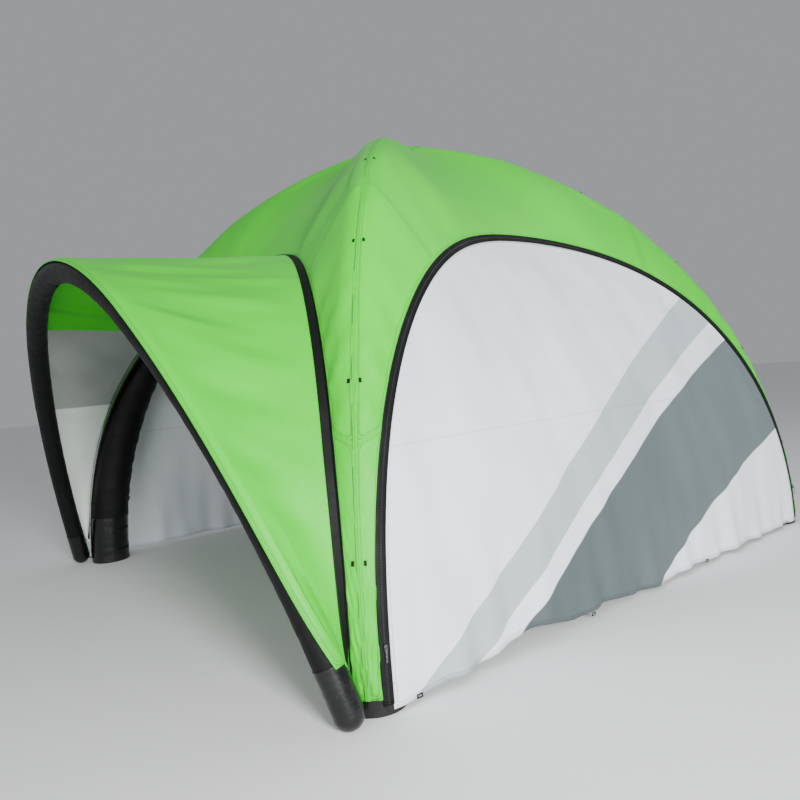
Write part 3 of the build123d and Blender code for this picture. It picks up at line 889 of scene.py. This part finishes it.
LEAST_FILL = 0.32       # least share that a sheet may fill of the rectangle it is cut from
LEAST_WASTE = 1.001     # and the least that the rectangle may be over the sheet's area


def declare_sheet(uv, area):
    """Works out the width and run of the rectangle that a stretched sheet's flat pattern is cut from; the
    results are not kept.
    """
    width, run = (float(x) for x in uv.reshape(-1, 2).max(0) - uv.reshape(-1, 2).min(0))
    run = max(min(run, area / width / LEAST_FILL), LEAST_WASTE * area / width)


BAND_FOOT = 0.05        # heights at which the band and the teeth end
TEETH_FOOT = 0.06
BAND_LAP = 0.004
BAND_LIFT = 0.0016
TEETH_LIFT = 0.0018
TOOTH = (0.0075, 0.0085, 0.0016)
TOOTH_WOBBLE = 0.04


def build_band(side, angle):
    """Black band from an opening's edge inwards, over the zip."""
    low = hem_share(BAND_FOOT)
    t = np.linspace(low - 1, 1 - low, 281)[:, None]
    inset = np.linspace(-BAND_LAP, sizes().band + BAND_LAP, 7)[None]
    b, w = edge_at(t, inset)
    flat = cover_at(b, w, BAND_LIFT)
    points = turned(flat, angle)
    piece = grid_piece(f"zip_tape_{side}", points, measured(flat))
    mark_seams(piece, flat, ("start", "end"))
    face_away(piece, TENT_INSIDE)
    thicken(piece, BAND_CLOTH)
    finish_piece(piece, finishes()["band"], "tent", (f"zip_band_{side}",))
    declare_sheet(measured(flat), grid_area(flat))


def build_teeth(side, angle):
    """Row of zip teeth a little over half way across the band."""
    s = sizes()
    low = hem_share(TEETH_FOOT)
    t = np.linspace(low - 1, 1 - low, 361)
    b, w = edge_at(t, s.band * 0.52)
    path, above = cover_at(b, w, TEETH_LIFT), cover_at(b, w, TEETH_LIFT + 0.010)
    points, ups = turned(path, angle), turned(above, angle) - turned(path, angle)
    piece = repeat_along(f"zip_teeth_{side}", points, unit(ups), s.tooth_pitch,
                         TOOTH, finishes()["plastic"], TOOTH_WOBBLE)
    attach(piece, "tent")


CREST_HALF = 0.016      # half the width of the lapped seam
CREST_LIFT = 0.0022
CREST_ROCK = 0.0012     # height of the waver along its sides
CREST_ROCKS = 170       # and its turns for each radian of the leg's arc, times 2 pi


def build_crest(leg, angle):
    """Lapped seam along the crest of a leg, over the edges of two roof panels."""
    s = sizes()
    hem_b = cover_turn(s.edge_half, s.cover_hem)[0]
    b = crest_turns(hem_b, np.linspace(0.0, 0.975, 181))[:, None]
    offset = np.linspace(-CREST_HALF, CREST_HALF, 7)[None]
    flat = cover_at(b, crest_reach(b) + offset, CREST_LIFT - 6.0 * offset ** 2)
    rock = CREST_ROCK * np.sin(b * CREST_ROCKS) * np.abs(offset) / CREST_HALF
    flat = folded(flat, rock + 0 * flat[..., 0], SIDE_INSIDE)
    points = turned(flat, angle - 45)
    piece = grid_piece(f"crest_seam_{leg}", points, measured(flat))
    gap = 0.0055 + (CREST_HALF - np.abs(offset)) + 0 * b
    mark(piece, "seam_gap", gap)
    mark(piece, "seam_run", measured(flat)[..., 1])
    face_away(piece, TENT_INSIDE)
    thicken(piece, LAP_CLOTH)
    finish_piece(piece, finishes()["roof"], "tent")
    declare_sheet(measured(flat), grid_area(flat))


CROWN_TURN = 0.14       # part of the legs' arc that lies under the cap
CROWN_COLUMNS = 96
CROWN_LIFT = 0.006
CROWN_PEAK = 0.022
CROWN_SLACK = 0.0015


def crown_height(x, y):
    """Height of the roof over a place near the tent's axis, from its four nearest points."""
    b = np.linspace(apex_turn() - CROWN_TURN, apex_turn(), 70)[:, None]
    known = cover_at(b, crest_reach(b) * np.linspace(-1, 1, 91)[None]).reshape(-1, 3)
    ask = np.stack([np.maximum(np.abs(x), np.abs(y)), np.minimum(np.abs(x), np.abs(y))], -1)
    gap = np.linalg.norm(ask.reshape(-1, 1, 2) - known[None, :, :2], axis=-1)
    near = np.argsort(gap, 1)[:, :4]
    weight = 1 / (np.take_along_axis(gap, near, 1) ** 2 + 1e-6)
    return ((known[near, 2] * weight).sum(1) / weight.sum(1)).reshape(x.shape)


def build_crown():
    """Peaked cloth cap over the middle, lying on the four panels."""
    low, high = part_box("crown_cap")
    reach = (high.x - low.x) / 2 * 0.995
    angle = np.linspace(0, 2 * pi, CROWN_COLUMNS + 1)[:-1][None]
    share = np.linspace(0.012, 1, 29)[:, None]
    edge = reach * share + 0 * angle
    x, y = edge * np.cos(angle), edge * np.sin(angle)
    slack = CROWN_SLACK * share ** 3 * (1 + np.sin(21 * angle + 3 * share))
    z = crown_height(x, y) + CROWN_LIFT + slack + CROWN_PEAK * np.exp(-(share / 0.22) ** 2)
    points = np.stack([x, y, z], -1) + np.array(TENT_MIDDLE)
    uv = np.stack([x, y], -1)
    piece = grid_piece("crown_cloth", points, uv, loop=True)
    mark(piece, "seam_gap", reach * (1 - share) + 0 * angle)
    mark(piece, "seam_run", 0 * share + reach * angle)
    mesh = bmesh.new()
    mesh.from_mesh(piece.data)
    mesh.verts.ensure_lookup_table()
    mesh.faces.new(mesh.verts[:CROWN_COLUMNS])
    bmesh.ops.recalc_face_normals(mesh, faces=mesh.faces)
    mesh.to_mesh(piece.data)
    mesh.free()
    face_away(piece, TENT_INSIDE)
    thicken(piece, LAP_CLOTH)
    finish_piece(piece, finishes()["roof"], "tent", ("crown_cap",))


WALL_GAP = 0.001        # between a wall and the inner edge of its zip band


def wall_grid(rows, columns):
    """Heights and runs of a wall that fills the opening inside its zip band."""
    s = sizes()
    inset = s.band + WALL_GAP
    u = np.linspace(-1, 1, columns)[None]
    v = np.linspace(0, 1, rows)[:, None]
    half, top = s.edge_half - inset, s.edge_top - inset
    y = half * u * np.clip(1 - v ** EDGE_POWER_Z / 2, 0, 1) ** (1 / EDGE_POWER_Y)
    z = top * v * (1 - np.abs(u) ** EDGE_POWER_Y / 2) ** (1 / EDGE_POWER_Z)
    return y + 0 * z, z + 0 * y, u, v


# run across a wall, and the height of its hem there
HEM_LIFTS = ((-2.31, 0.022), (-2.17, 0.022), (-1.95, 0.060), (-1.72, 0.028), (-1.53, 0.085),
             (-1.19, 0.115), (-0.90, 0.035), (-0.60, 0.070), (-0.20, 0.024), (0.10, 0.022),
             (0.50, 0.040), (0.90, 0.022), (1.30, 0.036), (1.70, 0.022), (2.05, 0.034), (2.31, 0.022))


HEM_SMOOTHING = 6


def hem_lift(y):
    """Height of the hem, which hangs up between its peg loops."""
    runs, heights = np.array(HEM_LIFTS).T
    fine = np.linspace(runs[0], runs[-1], 240)
    level = np.interp(fine, runs, heights)
    width = 2 * HEM_SMOOTHING + 1
    soft = np.convolve(np.pad(level, HEM_SMOOTHING, mode="edge"), np.ones(width) / width, "valid")
    return np.interp(y, fine, soft)


def build_wall(side, angle):
    y, z, u, v = wall_grid(111, 141)
    corner = np.abs(u) ** 6
    z = z + (1 - v) ** 2 * hem_lift(y) * (1 - corner) + sizes().wall_hem * (1 - v) * corner
    b, w = cover_turn(y, z)
    flat = cover_at(b, w)
    frame_in = np.clip((1 - np.abs(u)) / 0.10, 0, 1) * np.clip((1 - v) / 0.10, 0, 1)
    low_folds = np.exp(-z / 0.35) * ripples(y, z, HEM_FOLDS)
    folds = (ripples(y, z, WALL_HANG), ripples(y, z, WALL_PULLS), low_folds)
    height = frame_in * sum(most * fold for most, fold in zip(WALL_FOLDS, folds))
    points = turned(folded(flat, clear_of_legs(b, w, height), SIDE_INSIDE), angle)
    piece = grid_piece(f"wall_cloth_{side}", points, np.stack([y, z], -1))
    mark_seams(piece, flat)
    face_away(piece, TENT_INSIDE)
    thicken(piece, sizes().cloth)
    cloth = finishes()["printed" if side == "right" else "wall"]
    finish_piece(piece, cloth, "tent", (f"wall_{side}",))
    declare_sheet(measured(flat), grid_area(flat))


def round_turns(columns):
    """Turns round a tube, one for each column."""
    return np.linspace(0, 2 * pi, columns + 1)[:-1][None]


def tube_grid(centre, outward, radius):
    """Rings round a path: outward is a unit vector square to the path at each point."""
    ahead = unit(np.gradient(centre, axis=0))
    outward = unit(outward - ahead * np.sum(ahead * outward, -1, keepdims=True))
    across = np.cross(ahead, outward)
    a = round_turns(radius.shape[1])[..., None]
    ring = outward[:, None] * np.cos(a) + across[:, None] * np.sin(a)
    return centre[:, None] + ring * radius[..., None]


def sleeve_piece(name, points, run, girth_radius):
    """Closed smooth tube of sleeve cloth through a grid of rings."""
    rings, columns = points.shape[:2]
    a = round_turns(columns)
    uv = np.stack([a * girth_radius + 0 * run[:, None], run[:, None] + 0 * a], -1)
    piece = grid_piece(name, points, uv, loop=True)
    close_ends(piece, rings, columns)
    for face in piece.data.polygons:
        face.use_smooth = True
    return piece


def close_ends(piece, rings, columns):
    """Closes both ends of a tube of rings, and faces it outwards."""
    mesh = bmesh.new()
    mesh.from_mesh(piece.data)
    mesh.verts.ensure_lookup_table()
    first = (rings - 1) * columns
    mesh.faces.new(mesh.verts[:columns][::-1])
    mesh.faces.new(mesh.verts[first:first + columns])
    bmesh.ops.recalc_face_normals(mesh, faces=mesh.faces)
    mesh.to_mesh(piece.data)
    mesh.free()


LEG_START = 0.012       # turn of a sleeve's foot, and how far its top runs past the apex
LEG_OVERRUN = 0.035
LEG_SLACK = 0.0018      # under the full radius of the sleeve, and the depth of its creases
LEG_CREASE = 0.0045
LEG_MITRE = 0.0012      # half the gap between two legs where they are flattened together
LEG_FLOOR = 0.008
PORCH_SLACK = 0.0005
PORCH_CREASE = 0.0016


def build_leg(leg, angle):
    """Black sleeve round one inflated leg, flattened where the four meet."""
    s = sizes()
    b = np.linspace(LEG_START, apex_turn() + LEG_OVERRUN, 231)
    r, z = leg_line(b)
    centre = np.stack([r, 0 * r, z], -1)
    outward = np.stack([np.cos(b), 0 * b, np.sin(b)], -1)
    run = b * s.leg_arc
    a = round_turns(56)
    inner = 0.5 - 0.5 * np.cos(a)
    pinch = ripples(run[:, None], a / (2 * pi), LEG_PINCHES)
    radius = (s.sleeve - LEG_SLACK) + inner * LEG_CREASE * np.clip(pinch + 0.5, 0, 1.3)
    points = tube_grid(centre, outward, radius)
    spun = turned(points, angle) - np.array(TENT_MIDDLE)
    for axis in (0, 1):
        sign = 1 if (cos, sin)[axis](radians(angle)) > 0 else -1
        spun[..., axis] = sign * np.maximum(spun[..., axis] * sign, LEG_MITRE)
    spun[..., 2] = np.maximum(spun[..., 2], LEG_FLOOR)
    points = spun + np.array(TENT_MIDDLE)
    piece = sleeve_piece(f"sleeve_{leg}", points, run, s.sleeve)
    finish_piece(piece, finishes()["sleeve"], "tent", (f"leg_sleeve_{leg}",))


def build_porch_sleeve():
    """Black sleeve round the inflated porch arch."""
    s = sizes()
    centre, outward = porch_at(np.linspace(-0.9985, 0.9985, 281))
    steps = np.linalg.norm(np.diff(centre, axis=0), axis=-1)
    run = np.concatenate([[0], np.cumsum(steps)])
    a = round_turns(40)
    pinch = ripples(run[:, None], a / (2 * pi), PORCH_PINCHES)
    inner = 0.5 - 0.5 * np.cos(a)
    radius = (s.porch_tube - PORCH_SLACK) + inner * PORCH_CREASE * np.clip(pinch, -0.9, 0.5)
    points = tube_grid(centre, outward, radius)
    piece = sleeve_piece("porch_tube", points, run, s.porch_tube)
    finish_piece(piece, finishes()["sleeve"], "porch", ("porch_sleeve",))


TIE = (0.045, 0.014, 0.010)
TIE_PITCH = 0.56
TIE_WOBBLE = 0.10


def build_porch_ties():
    """Short webbing ties along the inner side of the porch tube."""
    centre, outward = porch_at(np.linspace(-0.86, 0.86, 241))
    path = centre - outward * (sizes().porch_tube + 0.003)
    piece = repeat_along("porch_ties", path, -outward, TIE_PITCH, TIE,
                         finishes()["webbing"], TIE_WOBBLE)
    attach(piece, "porch")


CANOPY_INSIDE = 0.090   # from the porch tube's centre line to the canopy's lower face
CANOPY_WRAP = radians(38)
CANOPY_LIFT = 0.012
CANOPY_REACH = 0.955    # share of the arch that the canopy covers
CANOPY_SKIN = 0.0015
WRAP_COLUMNS = 16
BAND_REACH = 0.945
BAND_SPAN = (-0.006, 0.046)


def canopy_grid(t, v, level=0.0):
    """Canopy from the front edge (v = 0) to the tube (v = 1) and round it (v = 2)."""
    b, w = edge_at(t)
    edge = cover_at(b, w, CANOPY_SKIN + CANOPY_LIFT + level)
    start = np.stack([edge[..., 1], -edge[..., 0], edge[..., 2]], -1) + np.array(TENT_MIDDLE)
    centre, outward = porch_at(t)
    square = np.array([0, cos(sizes().porch_lean), sin(sizes().porch_lean)])
    span = centre - start
    span = unit(outward * np.sum(outward * span, -1, keepdims=True)
                + square * np.sum(square * span, -1, keepdims=True))
    away = unit(outward - span * np.sum(outward * span, -1, keepdims=True))
    wrap = CANOPY_WRAP * np.clip(v - 1, 0, 1)
    reach = CANOPY_INSIDE + CANOPY_SKIN + level
    touch = centre + (away * np.cos(wrap) + span * np.sin(wrap)) * reach
    return start + (touch - start) * np.minimum(v, 1)


BATCH = 2000            # points that are compared with the whole arch at a time


def out_of_tube(points, gap):
    """Moves points that lie inside the porch tube out to a gap from its surface."""
    centre, _ = porch_at(np.linspace(-1, 1, 801))
    reach = sizes().porch_tube + gap
    flat = points.reshape(-1, 3).copy()
    for start in range(0, len(flat), BATCH):
        part = flat[start:start + BATCH]
        away = part[:, None] - centre[None]
        distance = np.linalg.norm(away, axis=-1)
        near = distance.argmin(1)
        rows = np.arange(len(part))
        far = distance[rows, near][:, None]
        flat[start:start + BATCH] = centre[near] + away[rows, near] / far * np.maximum(far, reach)
    return flat.reshape(points.shape)


def build_canopy():
    """Green canopy from the front opening over the porch arch."""
    rows, at_tube = 261, 44
    t = np.linspace(-CANOPY_REACH, CANOPY_REACH, rows)[:, None]
    over_tube = np.linspace(1, 2, WRAP_COLUMNS + 1)[1:]
    v = np.concatenate([np.linspace(0, 1, at_tube + 1), over_tube])[None]
    t, v = np.broadcast_arrays(t, v)
    flat = canopy_grid(t, v[..., None])
    over = np.clip(v, 0, 1)
    reach = np.linalg.norm(flat[:, at_tube] - flat[:, 0], axis=-1)[:, None]
    window = np.clip((over * reach - 0.06) / 0.30, 0, 1) * np.clip((1 - over) / 0.25, 0, 1)
    sag = CANOPY_SAG * np.sin(pi * over) * np.clip(1 - np.abs(t) ** 3, 0, 1)
    height = window * CANOPY_FOLD * ripples(t, over, CANOPY_PULLS) - sag
    points = folded(flat, height, PORCH_INSIDE)
    points[:, v[0] >= 1] = flat[:, v[0] >= 1]
    points = out_of_tube(points, 0.004)
    piece = grid_piece("porch_cover", points, measured(flat))
    mark_seams(piece, flat, rows=rows_near(t, CANOPY_SEAMS))
    face_away(piece, PORCH_INSIDE)
    finish_piece(piece, finishes()["porch"], None, ("porch_canopy",))
    mark(piece, "porch_share", over)
    thicken(piece, sizes().cloth)
    bake_modifiers(piece)
    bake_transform(piece)
    hold_edges(piece)
    declare_sheet(measured(flat), grid_area(flat))


def build_canopy_band():
    """Black band along the seam where the canopy leaves the tent."""
    t = np.linspace(-BAND_REACH, BAND_REACH, 241)[:, None]
    reach = np.linalg.norm(canopy_grid(t, 1 + 0 * t[..., None]) - canopy_grid(t, 0 * t[..., None]),
                           axis=-1)
    v = np.linspace(*BAND_SPAN, 7)[None] / reach
    flat = out_of_tube(canopy_grid(t, v[..., None], 0.0028), 0.010)
    piece = grid_piece("porch_band", flat, measured(flat))
    mark(piece, "porch_share", np.clip(v, 0, 1))
    mark_seams(piece, flat, ("start", "end"))
    face_away(piece, PORCH_INSIDE)
    finish_piece(piece, finishes()["band"])
    thicken(piece, BAND_CLOTH)
    bake_modifiers(piece)
    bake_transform(piece)
    hold_edges(piece)
    declare_sheet(measured(flat), grid_area(flat))


def hold_edges(piece):
    """Reads the share of the run towards the porch at each point of a piece; nothing is done with it."""
    share = np.empty(len(piece.data.vertices), np.float32)
    piece.data.attributes["porch_share"].data.foreach_get("value", share)


# ---- operators ----

class TENT_OT_stage(Operator):
    """Adds the floor, the lights and the camera"""
    bl_idname = "tent.stage"
    bl_label = "Stage"

    def execute(self, context):
        build_stage()
        return {"FINISHED"}


class TENT_OT_frame(Operator):
    """Builds the sleeves of the four legs and of the porch arch"""
    bl_idname = "tent.frame"
    bl_label = "Inflated frame"

    def execute(self, context):
        for leg, angle in LEGS.items():
            build_leg(leg, angle)
        build_porch_sleeve()
        return {"FINISHED"}


class TENT_OT_roof(Operator):
    """Builds the roof panels, the seams over the legs and the crown cap"""
    bl_idname = "tent.roof"
    bl_label = "Roof cover"

    def execute(self, context):
        for side, angle in SIDES.items():
            build_roof(side, angle)
        for leg, angle in LEGS.items():
            build_crest(leg, angle)
        build_crown()
        return {"FINISHED"}


class TENT_OT_zips(Operator):
    """Builds the zip bands round the four openings, with their teeth"""
    bl_idname = "tent.zips"
    bl_label = "Zip bands"

    def execute(self, context):
        for side, angle in SIDES.items():
            build_band(side, angle)
            build_teeth(side, angle)
        return {"FINISHED"}


class TENT_OT_walls(Operator):
    """Builds the three walls, of which the right one is printed"""
    bl_idname = "tent.walls"
    bl_label = "Walls"

    def execute(self, context):
        for side in WALLS:
            build_wall(side, SIDES[side])
        return {"FINISHED"}


class TENT_OT_porch(Operator):
    """Builds the porch canopy, the band at its root and the ties on its tube"""
    bl_idname = "tent.porch"
    bl_label = "Porch canopy"

    def execute(self, context):
        build_canopy()
        build_canopy_band()
        build_porch_ties()
        return {"FINISHED"}


class TENT_OT_fittings(Operator):
    """Gives the boots, valves, sliders, loops and tabs their finishes"""
    bl_idname = "tent.fittings"
    bl_label = "Fittings"

    def execute(self, context):
        dress_fittings()
        return {"FINISHED"}


FITTINGS = {"leg_boot": "boot", "porch_boot": "boot", "valve": "plastic", "zip_slider": "metal",
            "hem_loops": "webbing", "crest_tabs": "webbing", "foot_tabs": "webbing",
            "leg_bladder": "bladder", "porch_bladder": "bladder"}


def dress_fittings():
    """Gives each fitting's own shape the finish that its name asks for."""
    for name, node in frame["nodes"].items():
        for start, finish in FITTINGS.items():
            if name.startswith(start):
                node.data.materials.clear()
                node.data.materials.append(finishes()[finish])


FLOOR_HALF = 60
# place, power in watts and size of each light, which all aim at one place in the tent
LIGHTS = {
    "key": ((11.0, -4.0, 3.4), 1900.0, 2.4),
    "fill": ((6.0, -9.0, 3.0), 420.0, 5.0),
    "top": ((3.0, 6.0, 9.0), 90.0, 6.0),
}
LIGHTS_AIM = (0.0, 0.3, 1.2)
SKY = (0.93, 0.95, 1.0, 1.0)
SKY_STRENGTH = 0.38
CAMERA_PLACE = (5.15514, -3.86493, 1.63081)
CAMERA_RIGHT = (0.62843, 0.77339, -0.08335)
CAMERA_UP = (0.03560, 0.07844, 0.99628)
CAMERA_AHEAD = (-0.77705, 0.62906, -0.02176)
CAMERA_LENS = 30.79
CAMERA_SENSOR = 36.0
CAMERA_SHIFT = (-0.0120, -0.0128)
CAMERA_FAR = 200


def build_stage():
    """Pale floor, soft studio lights, sky and camera."""
    scene = bpy.context.scene
    floor_mesh = bpy.data.meshes.new("floor")
    corners = [(x * FLOOR_HALF, y * FLOOR_HALF, 0) for x, y in ((-1, -1), (1, -1), (1, 1), (-1, 1))]
    floor_mesh.from_pydata(corners, [], [(0, 1, 2, 3)])
    floor = bpy.data.objects.new("floor", floor_mesh)
    m = Finish("floor")
    tone = m.mix(m.noise(m.place(), 0.4, 3.0), (0.80, 0.80, 0.80), (0.86, 0.86, 0.86))
    floor_mesh.materials.append(m.finish(tone, 0.75, None))
    scene.collection.objects.link(floor)
    for name, (place, power, size) in LIGHTS.items():
        lamp = bpy.data.lights.new(name, "AREA")
        lamp.energy, lamp.size = power, size
        light = bpy.data.objects.new(name, lamp)
        light.location = place
        aim = Vector(LIGHTS_AIM) - Vector(place)
        light.rotation_euler = aim.to_track_quat("-Z", "Y").to_euler()
        scene.collection.objects.link(light)
    world = bpy.data.worlds.new("studio")
    world.use_nodes = True
    background = world.node_tree.nodes["Background"]
    background.inputs["Color"].default_value = SKY
    background.inputs["Strength"].default_value = SKY_STRENGTH
    scene.world = world
    data = bpy.data.cameras.new("camera")
    data.lens, data.sensor_width = CAMERA_LENS, CAMERA_SENSOR
    data.shift_x, data.shift_y = CAMERA_SHIFT
    data.clip_end = CAMERA_FAR
    camera = bpy.data.objects.new("camera", data)
    turn = Matrix((CAMERA_RIGHT, CAMERA_UP, -Vector(CAMERA_AHEAD))).transposed().to_4x4()
    camera.matrix_world = Matrix.Translation(CAMERA_PLACE) @ turn
    scene.collection.objects.link(camera)
    scene.camera = camera


class TENT_PT_panel(Panel):
    bl_label = "Inflatable tent"
    bl_idname = "TENT_PT_panel"
    bl_space_type = "VIEW_3D"
    bl_region_type = "UI"
    bl_category = "Tent"

    def draw(self, context):
        for step in STEPS:
            self.layout.operator(step.bl_idname)
        for group in (context.scene.tent_sizes, context.scene.tent_colours):
            for key in group.bl_rna.properties.keys():
                if key not in ("rna_type", "name"):
                    self.layout.prop(group, key)


STEPS = (TENT_OT_frame, TENT_OT_roof, TENT_OT_zips, TENT_OT_walls, TENT_OT_porch,
         TENT_OT_fittings, TENT_OT_stage)
CLASSES = (TentSizes, TentColours, *STEPS, TENT_PT_panel)


def register():
    for item in CLASSES:
        bpy.utils.register_class(item)
    bpy.types.Scene.tent_sizes = PointerProperty(type=TentSizes)
    bpy.types.Scene.tent_colours = PointerProperty(type=TentColours)


def unregister():
    del bpy.types.Scene.tent_colours
    del bpy.types.Scene.tent_sizes
    for item in reversed(CLASSES):
        bpy.utils.unregister_class(item)


def main():
    register()
    for step in STEPS:
        group, name = step.bl_idname.split(".")
        result = getattr(getattr(bpy.ops, group), name)()
        if result != {"FINISHED"}:
            raise RuntimeError(f"{step.bl_idname} gave {result}")


if __name__ == "__main__":
    main()
